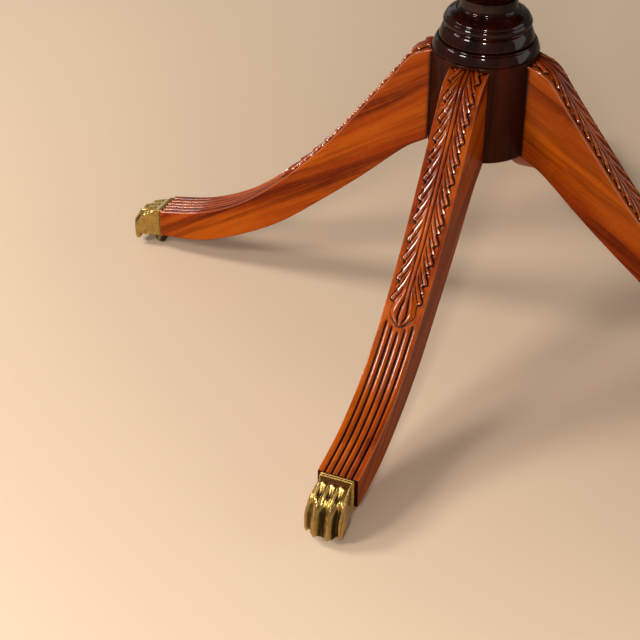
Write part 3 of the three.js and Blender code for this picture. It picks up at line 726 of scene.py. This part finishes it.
turned_piece("collar_rings", [
    (0, base),
    *roll(ring_one_reach, base, RING_ONE_HEIGHT),
    *roll(ring_two_reach, ring_two_base, RING_TWO_HEIGHT),
    (dome_reach - 1.6 * MM, dome_base),
    *through(from_corner(dome_reach, dome_base, [(-0.9, 0.2), (-0.1, 2), (-0.2, 4.6), (-1.5, 6.9)]), 12),
    (dome_reach - 1.75 * MM, dome_base + 7.0 * MM),
    *through(from_corner(dome_reach, dome_base, [(-1.95, 7.3), (-2.9, 9.6), (-5.6, 12.3), (-9.2, 14.3)])
             + [(34.6 * MM, collar_high.z - 0.9 * MM)], 22),
    *round_stretch(33.4 * MM, collar_high.z - 0.7 * MM, 0.7 * MM, 25, 90, 5),
    (0, collar_high.z),
], column_wood, "column_collar")
print("collar from", round(base, 4), "to", round(collar_high.z, 4))

# %% [markdown]
# Above its neck the shaft swells to a vase, and a bead, a flare and a thick cap carry the top.

# %% Column
shaft_base, shaft_top = collar_high.z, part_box("top_block")[0].z
neck_top = shaft_base + 13.3 * MM
cap_base = shaft_top - GAP - 14 * MM
flare_base = cap_base - 84 * MM
bead = 7 * MM
vase_top = flare_base - 2 * bead
vase = smooth_through([(0.559, 0), (0.65, 0.035), (0.88, 0.13), (0.99, 0.24), (0.98, 0.36), (0.85, 0.52),
                       (0.67, 0.70), (0.55, 0.86), (0.53, 1)], 72)
flare = smooth_through([(0, 0), (0.04, 0.35), (0.30, 0.75), (0.72, 1)], 24)
VASE_RADIUS, FLARE_RADIUS, CAP_RADIUS = 53.8 * MM, 29 * MM, 52 * MM
turned_piece("column_vase", [
    (0, shaft_base), (31.7 * MM, shaft_base),
    *through(from_corner(0, shaft_base, [(31.7, 0.3), (30.2, 2.3), (29.7, 7), (30.1, 13.3)]), 10)[:-1],
    *[(r * VASE_RADIUS, neck_top + u * (vase_top - neck_top)) for r, u in vase],
    *round_stretch(FLARE_RADIUS + 1 * MM, flare_base - bead, bead, -88, 88, 18),
    *[(FLARE_RADIUS + r * (CAP_RADIUS - FLARE_RADIUS), flare_base + u * (cap_base - flare_base))
      for r, u in flare],
    (CAP_RADIUS - 3 * MM, cap_base),
    *round_stretch(CAP_RADIUS - 7 * MM, cap_base + 7 * MM, 7 * MM, -64, 64, 14),
    (CAP_RADIUS - 3 * MM, shaft_top - GAP), (0, shaft_top - GAP),
], column_wood, "column_shaft")
print("column from", round(shaft_base, 4), "to", round(shaft_top, 4))

# %% [markdown]
# ## Lion-paw caps
# Each paw is one brass casting: a plate with two small beads against the leg, a smooth wrist with tufts of
# fur, and four toes that bend down into claws in front of the caster. It is made as a loaf. Slices stand one
# behind the other from the plate to the claws and turn over as the toes do. Each slice is a rounded oblong,
# and the fur, the toes and the valleys between them are heights pushed out of it.

# %% Slices of the paw, in millimetres
PAW_BACK = paw_low.x / MM  # the face against the leg
PAW_FLOOR = PAW_BOTTOM / MM + 9.2  # the paw's flat underside, above the claws' tips
PAW_TOP = FOOT_TOP / MM
TOE_SET_BACK = 6.3  # of the two outer toes behind the inner ones
TOE_PLACES = (-17.0, -7.0, 7.0, 17.0)
TUFT_PLACES = (-9.5, 0.0, 9.5)
BEAD_PLACES = ((390.6, 1.15), (393.1, 1.0))  # radius from the column's axis, and size
PAW_PLAN = [
    # base radius, base above PAW_FLOOR, top radius, top below PAW_TOP, half width, corner
    (PAW_BACK, 1.5, PAW_BACK, 1.1, 16.6, 0.9),
    (394.0, 1.0, 394.0, 1.5, 16.5, 1.2),
    (400.0, 0, 400.0, 3.0, 16.6, 3.0),
    (406.0, 0, 408.0, 5.6, 17.3, 4.5),
    (411.5, 0, 416.0, 9.2, 18.6, 5.2),
    (416.0, 0, 423.4, 14.6, 19.8, 5.0),
    (419.5, 0, 428.4, 21.5, 20.4, 4.6),
    (422.3, 0, 431.2, 28.0, 20.4, 4.0),
    (424.3, 0, 432.5, 34.5, 20.1, 3.4),
    (425.2, -1.8, 432.8, 40.5, 19.6, 2.4),
    (425.8, -5.0, 432.0, 44.6, 19.1, 1.6),
    (427.0, -7.6, 430.6, 46.3, 18.2, 0.8),
]
paw_slices = smooth_through([(base, PAW_FLOOR + up, top, PAW_TOP - down, half, corner)
                             for base, up, top, down, half, corner in PAW_PLAN], 600)
paw_slices = np.concatenate([paw_slices[:60], paw_slices[60::3]])  # close together at the beads
print("paw slices:", len(paw_slices), "underside at", round(PAW_FLOOR, 2), "mm")

# %% [markdown]
# The toes need a crest that catches the light, a deep valley on each side, and the fine slanting cuts that
# the chaser works into the fur once the casting is cold.

# %% Heights of the paw's relief
def paw_relief(place, t):
    """Heights over the paw's upper side. `place` runs from 0 at the plate to 1 at the claws' tips."""
    toe_begun = soft_step(place, 0.36, 0.60)
    nearest = np.full_like(t, 99.0)
    for middle in TOE_PLACES:
        nearest = np.where(np.abs(t - middle) < np.abs(nearest), t - middle, nearest)
    flank = np.sqrt(np.abs(nearest) ** 2 + 0.8) - 0.9
    height = -0.92 * np.minimum(flank, 6.5) * toe_begun
    crest = soft_step(place, 0.42, 0.52)
    height += 0.5 * crest * swell(nearest, 0, 0.95)
    height += 1.3 * swell(place, 0.50, 0.07) * swell(nearest, 0, 3.0)  # the knuckle
    height += 0.9 * swell(place, 0.73, 0.06) * swell(nearest, 0, 3.2)
    # slanting cuts on both sides of a crest
    slant = (place * 78 - 1.2 * np.abs(nearest)) / 2.5
    cuts = np.abs(np.sin(np.pi * slant)) ** 0.6 - 0.7
    fur = soft_step(np.abs(nearest), 0.9, 1.6) * (1 - soft_step(np.abs(nearest), 4.2, 5.4))
    fur = fur * soft_step(place, 0.56, 0.66) * (1 - soft_step(place, 0.95, 0.99))
    height += 0.7 * cuts * fur
    # tufts on the wrist, with dark hollows running down from them
    for middle in TUFT_PLACES:
        height += 1.35 * np.exp(-((place - 0.175) / 0.028) ** 2 - ((t - middle) / 2.3) ** 2)
        height -= 3.0 * np.exp(-((place - 0.31) / 0.085) ** 2 - ((t - middle) / 2.3) ** 2)
    strands = np.cos(2 * np.pi * t / 3.17)
    height += 0.45 * strands * soft_step(place, 0.17, 0.24) * (1 - soft_step(place, 0.40, 0.52))
    return height, np.clip(-cuts, 0, 1) * fur


print("toes:", len(TOE_PLACES), "tufts:", len(TUFT_PLACES))

# %% [markdown]
# The skin goes round every slice: a side, a corner, the top, a corner, a side and the underside. The relief
# is pushed out of it square to the surface, and the outer toes are set back last.

# %% Skin of the paw
def paw_shape():
    """Slices of the paw from the plate to the claws, and how hollow the skin is at each point."""
    base_r, base_z, top_r, top_z, half, corner = paw_slices.T[:, :, None]
    walked = np.r_[0, np.cumsum(np.hypot(np.diff(paw_slices[:, 2]), np.diff(paw_slices[:, 3])))]
    place = (walked / walked[-1])[:, None]
    rise = np.hypot(top_r - base_r, top_z - base_z)
    bead = np.zeros_like(place)
    for middle, size in BEAD_PLACES:
        bead = np.maximum(bead, np.sqrt(np.maximum(size ** 2 - (top_r - middle) ** 2, 0)))
    # one slice, as places across and up with the direction that faces out
    side_up = np.linspace(0, 1, 22)[:-1]
    turn = np.linspace(0, np.pi / 2, 12)[:-1]
    flat = np.linspace(-1, 1, 101)
    base = np.linspace(1, -1, 29)[1:-1]
    kind = np.repeat([0, 1, 2, 3, 4, 5], [21, 11, 101, 11, 21, 27])
    t = np.zeros((len(place), len(kind)))
    up = np.zeros_like(t)
    out_t, out_up = np.zeros_like(t), np.zeros_like(t)
    inner, shoulder = half - corner, rise - corner
    for which, sign in ((0, -1), (4, 1)):
        pick = np.flatnonzero(kind == which)
        heights = side_up if sign < 0 else side_up[::-1]
        bulge = 0.5 * np.sin(np.pi * heights)
        t[:, pick] = sign * (half + bulge * soft_step(place, 0.1, 0.3))
        up[:, pick] = shoulder * heights
        out_t[:, pick] = sign
    for which, sign in ((1, -1), (3, 1)):
        pick = np.flatnonzero(kind == which)
        angle = turn if sign < 0 else np.pi / 2 - turn
        t[:, pick] = sign * (inner + corner * np.cos(angle))
        up[:, pick] = shoulder + corner * np.sin(angle)
        out_t[:, pick], out_up[:, pick] = sign * np.cos(angle), np.sin(angle)
    t[:, kind == 5] = half * base  # the underside, which stays clear of the caster
    pick = np.flatnonzero(kind == 2)
    t[:, pick] = inner * flat
    up[:, pick] = rise
    out_up[:, pick] = 1
    relief, scratched = paw_relief(np.broadcast_to(place, t.shape), t)
    relief, scratched = relief * out_up ** 2, scratched * out_up ** 2
    relief = np.maximum(relief, -0.55 * rise)  # a web is left between the claws, clear of the caster
    # three small beads along each side of the wrist
    for middle in (0.21, 0.28, 0.35):
        relief += 0.8 * np.exp(-((place - middle) / 0.016) ** 2 - ((up - shoulder - 0.5) / 1.3) ** 2)
    push = relief + bead
    t = t + out_t * push
    up = up + out_up * push
    set_back = TOE_SET_BACK * soft_step(np.abs(t), 10.6, 13.6) * soft_step(place, 0.34, 0.58)
    lean_r, lean_z = (top_r - base_r) / rise, (top_z - base_z) / rise
    shape = np.stack([base_r + lean_r * up - set_back, t, base_z + lean_z * up], -1) * MM
    depth_tone = (softened(relief) - relief) / 0.9 + 0.6 * soft_step(-relief, 0.9, 3.2) + 0.8 * scratched - 0.1
    return shape, np.clip(depth_tone, -1, 1)


paw_rings, paw_recess = paw_shape()
paw_points = paw_rings.reshape(-1, 3)
paw_faces = tube_faces(*paw_rings.shape[:2])
for side, degrees in SIDES.items():
    paw = solid(f"lion_paw_{side}", turned_about(paw_points, degrees), paw_faces, paw_brass, paw_points, 60,
                paw_recess.ravel())
    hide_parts(f"paw_cap_{side}")
    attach(paw, "table")
print("points in a paw:", len(paw_points), "box", paw_points.min(0).round(4), paw_points.max(0).round(4))

# %% [markdown]
# ## Casters
# A small wheel turns on a riveted pin between two cheeks, and the whole fork swivels under the paw. The fork
# is bent from thick brass, so its edges are soft: plain slabs with a bevel modifier give that. The wheel is
# turned, with a rounded tread and a boss on each side.

# %% Fork, pin and wheel
wheel_low, wheel_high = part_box("caster_wheel_right")
AXLE_HEIGHT = (wheel_low.z + wheel_high.z) / 2
AXLE_RADIUS = (wheel_low.x + wheel_high.x) / 2
SWIVEL_RADIUS = AXLE_RADIUS + 8 * MM  # the wheel trails the swivel by this much
WHEEL_HALF = wheel_high.y
CROWN_TOP = PAW_FLOOR * MM - GAP
CROWN_THICK = 2 * MM
CHEEK_INNER, CHEEK_OUTER = WHEEL_HALF + GAP, WHEEL_HALF + 1.9 * MM


def slab(outline, low, high, upright=False):
    """A flat piece with the given plan. An upright one stands across Y, with its outline in X and Z."""
    count = len(outline)
    levels = [[(x, y, z) for x, y in outline] for z in (low, high)]
    if upright:
        levels = [[(x, y, z) for x, z in outline] for y in (high, low)]
    points = np.array(levels[0] + levels[1])
    faces = [list(range(count))[::-1], list(range(count, 2 * count))]
    faces += [[k, (k + 1) % count, count + (k + 1) % count, count + k] for k in range(count)]
    return points, faces


def together(*parts):
    """Several sets of points and faces as one."""
    points, faces, start = [], [], 0
    for part_points, part_faces in parts:
        points.append(part_points)
        faces += [[index + start for index in face] for face in part_faces]
        start += len(part_points)
    return np.concatenate(points), faces


def eased_edges(made, width):
    """Rounds the edges of a piece with a bevel modifier."""
    bevel = made.modifiers.new("eased_edges", "BEVEL")
    bevel.width = width
    bevel.segments = 2
    bevel.limit_method = "ANGLE"
    bevel.angle_limit = math.radians(35)


def laid_over(part, height):
    """A turned shape laid on its side, with its axis across the caster at the given height."""
    points, faces = part
    return np.c_[points[:, 0] + AXLE_RADIUS, -points[:, 2], points[:, 1] + height], faces


crown_back = AXLE_RADIUS - 3.5 * MM
crown_outline = [(crown_back, -CHEEK_OUTER), *round_stretch(SWIVEL_RADIUS, 0, CHEEK_OUTER, -90, 90, 20),
                 (crown_back, CHEEK_OUTER)]
cheek_top = CROWN_TOP - CROWN_THICK / 2
cheek_outline = round_stretch(AXLE_RADIUS, AXLE_HEIGHT, 3 * MM, 180, 360, 16)
cheek_outline += [(AXLE_RADIUS + 5.5 * MM, cheek_top), (crown_back, cheek_top)]
washer = [(0, -0.5), (4.2, -0.5), (4.2, 0.2), (0, 0.2)]
washer_points, washer_faces = turned(from_corner(0, CROWN_TOP, washer), 32)
fork_part = together(
    slab(crown_outline, CROWN_TOP - CROWN_THICK, CROWN_TOP),
    slab(cheek_outline, CHEEK_INNER, CHEEK_OUTER, True),
    slab(cheek_outline, -CHEEK_OUTER, -CHEEK_INNER, True),
    (washer_points + [SWIVEL_RADIUS, 0, 0], washer_faces))


def mirrored(half):
    """Both halves of an outline from its lower half."""
    return half + [(radius, -height) for radius, height in half[::-1]]


pin_half = from_corner(0, -(CHEEK_OUTER + 0.45 * MM), [(0, 0), (1.0, 0), (1.5, 0.4)])
pin_part = laid_over(turned(mirrored(pin_half), 32), AXLE_HEIGHT)
tread = AXLE_HEIGHT  # the wheel just touches the floor
wheel_half = from_corner(0, -WHEEL_HALF, [(1.75, 0), (3.1, 0), (3.4, 0.7), (5.0, 1.0), (5.5, 0.5)])
wheel_half += round_stretch(tread - 1.3 * MM, -WHEEL_HALF + 1.6 * MM, 1.3 * MM, -80, -6, 7)
wheel_outline = mirrored(wheel_half)
wheel_outline.insert(len(wheel_half), (tread, 0))
wheel_part = laid_over(turned(wheel_outline + wheel_outline[:1], 64), AXLE_HEIGHT)
caster_parts = (
    ("caster_fork", "swivel_fork", fork_part, caster_brass, "caster_brass", "caster", 0.35 * MM),
    ("caster_axle", "riveted_pin", pin_part, dull_steel, "screw_steel", "caster", 0),
    ("caster_wheel", "brass_wheel", wheel_part, wheel_metal, "caster_wheel", "wheel", 0))
for side, degrees in SIDES.items():
    for cad_name, name, (points, faces), finish, slot_name, body, easing in caster_parts:
        made = solid(f"{name}_{side}", turned_about(points, degrees), faces, finish, points)
        if easing:
            eased_edges(made, easing)
        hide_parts(f"{cad_name}_{side}")
        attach(made, f"{body}_{side}")
print("wheel axle at", round(AXLE_RADIUS, 4), "swivel at", round(SWIVEL_RADIUS, 4))

# %% [markdown]
# ## The round top
# The top is solid mahogany with a border of wood laid crossways and a thin dark line between them. The border
# is cut in radial pieces on the real one, so its grain points to the middle. Each of the three is its own
# turned piece, which keeps the line crisp. The edge is worked with two reeds.

# %% Top
top_low, top_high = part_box("table_top")
TOP_RADIUS = top_high.y
LINE_INNER, LINE_OUTER = TOP_RADIUS - 70 * MM, TOP_RADIUS - 67 * MM
LINE_DEPTH = 1.4 * MM
REED = 4.6 * MM
TOP_SIDES = 256
under, over = top_low.z, top_high.z
GLUE_LINE = 0.04 * MM
field = turned([
    (0, under), (LINE_OUTER - 0.03 * MM, under), (LINE_OUTER - 0.03 * MM, over - LINE_DEPTH),
    (LINE_INNER, over - LINE_DEPTH), (LINE_INNER, over), (0.3, over), (0.15, over), (0, over)], TOP_SIDES)
line_in, line_out, line_under = LINE_INNER + GLUE_LINE, LINE_OUTER - GLUE_LINE, over - LINE_DEPTH + GLUE_LINE
line = turned([(line_in, line_under), (line_out, line_under), (line_out, over), (line_in, over),
               (line_in, line_under)], TOP_SIDES)
border_outline = [
    (LINE_OUTER, under), (TOP_RADIUS - REED - 2 * MM, under),
    *round_stretch(TOP_RADIUS - REED, under + 1.6 * MM + REED, REED, -78, 74, 14),
    *round_stretch(TOP_RADIUS - REED, over - 2 * MM - REED, REED, -74, 76, 14),
    (TOP_RADIUS - REED - 0.4 * MM, over - 1.3 * MM),
    *round_stretch(TOP_RADIUS - REED - 1.9 * MM, over - 1.5 * MM, 1.5 * MM, 10, 90, 5),
    (LINE_OUTER, over), (LINE_OUTER, under)]
border = turned(border_outline, TOP_SIDES)
straight = field[0][:, [0, 2, 1]]
around = np.hypot(border[0][:, 0], border[0][:, 1])
crossways = np.c_[around, border[0][:, 0] / around * 0.6, border[0][:, 1] / around * 0.6 + border[0][:, 2]]
for name, (points, faces), finish, grain in (
        ("top_field", field, top_wood, straight), ("top_dark_line", line, string_wood, line[0]),
        ("top_border", border, band_wood, crossways)):
    made = solid(name, points, faces, finish, grain, 30)
    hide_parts("table_top")
    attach(made, "table")
print("top across", round(2 * TOP_RADIUS, 4), "thick", round(over - under, 4))

# %% [markdown]
# ## Battens, block and iron plate
# These are plain joiner's and smith's work in the dark under the table. Their measured shapes are already
# right, so they stay as they are, and only get their finish.

# %% Finishes for the plain pieces
for cad_name, finish in (("batten_left", batten_wood), ("batten_right", batten_wood),
                         ("top_block", block_wood), ("spider_plate", black_iron)):
    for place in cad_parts[cad_name].material_slots:
        place.material = finish
        print(cad_name, "is finished in", place.material.name)

# %% [markdown]
# ## Screws
# Old furniture is held with slotted screws. One screw of each size is turned, and its slot is cut with a
# boolean. Copies then go wherever the measured model has a screw, each with its slot turned its own way.

# %% Screws
def slotted_screw(head, shank, length):
    """Points and faces of a countersunk screw that points up, with the face of its head at height 0."""
    rim = 0.25 * MM
    parts = turned([(0, 0), (head - rim, 0), (head, rim), (shank, head - shank + rim), (shank, length * 0.35),
                    (shank * 0.85, length * 0.36), (shank * 0.8, length - shank * 2), (0, length)], 40)
    blank = solid("blank", *parts, dull_steel)
    slot = [(x * 2 * head, y * 0.11 * head) for x, y in SQUARE]
    cutter = solid("cutter", *slab(slot, -head, head * 0.28), dull_steel)
    cut = blank.modifiers.new("slot", "BOOLEAN")
    cut.operation = "DIFFERENCE"
    cut.object = cutter
    made = blank.evaluated_get(bpy.context.evaluated_depsgraph_get()).to_mesh()
    points = np.array([v.co for v in made.vertices])
    faces = [list(face.vertices) for face in made.polygons]
    for waste in (blank, cutter):
        bpy.data.objects.remove(waste)
    return points, faces


screw_sizes = {"batten_screw": (4.6, 2.2, 48), "block_screw": (4.6, 2.2, 48), "spider_screw": (4, 2, 26),
               "paw_screw": (2.7, 1.3, 17)}
screw_parts = {kind: slotted_screw(*[v * MM for v in size]) for kind, size in screw_sizes.items()}
turns = np.random.default_rng(11)
screw_count = 0
for cad_name in sorted(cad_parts):
    kind = "_".join(cad_name.split("_")[:2])
    if kind not in screw_parts:
        continue
    low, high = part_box(cad_name)
    points, faces = screw_parts[kind]
    place = [(low.x + high.x) / 2, (low.y + high.y) / 2, low.z]
    placed = turned_about(points, turns.uniform(0, 180)) + place
    made = solid(f"slotted_{cad_name}", placed, faces, dull_steel, points)
    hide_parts(cad_name)
    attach(made, "table")
    screw_count += 1
print("screws:", screw_count)
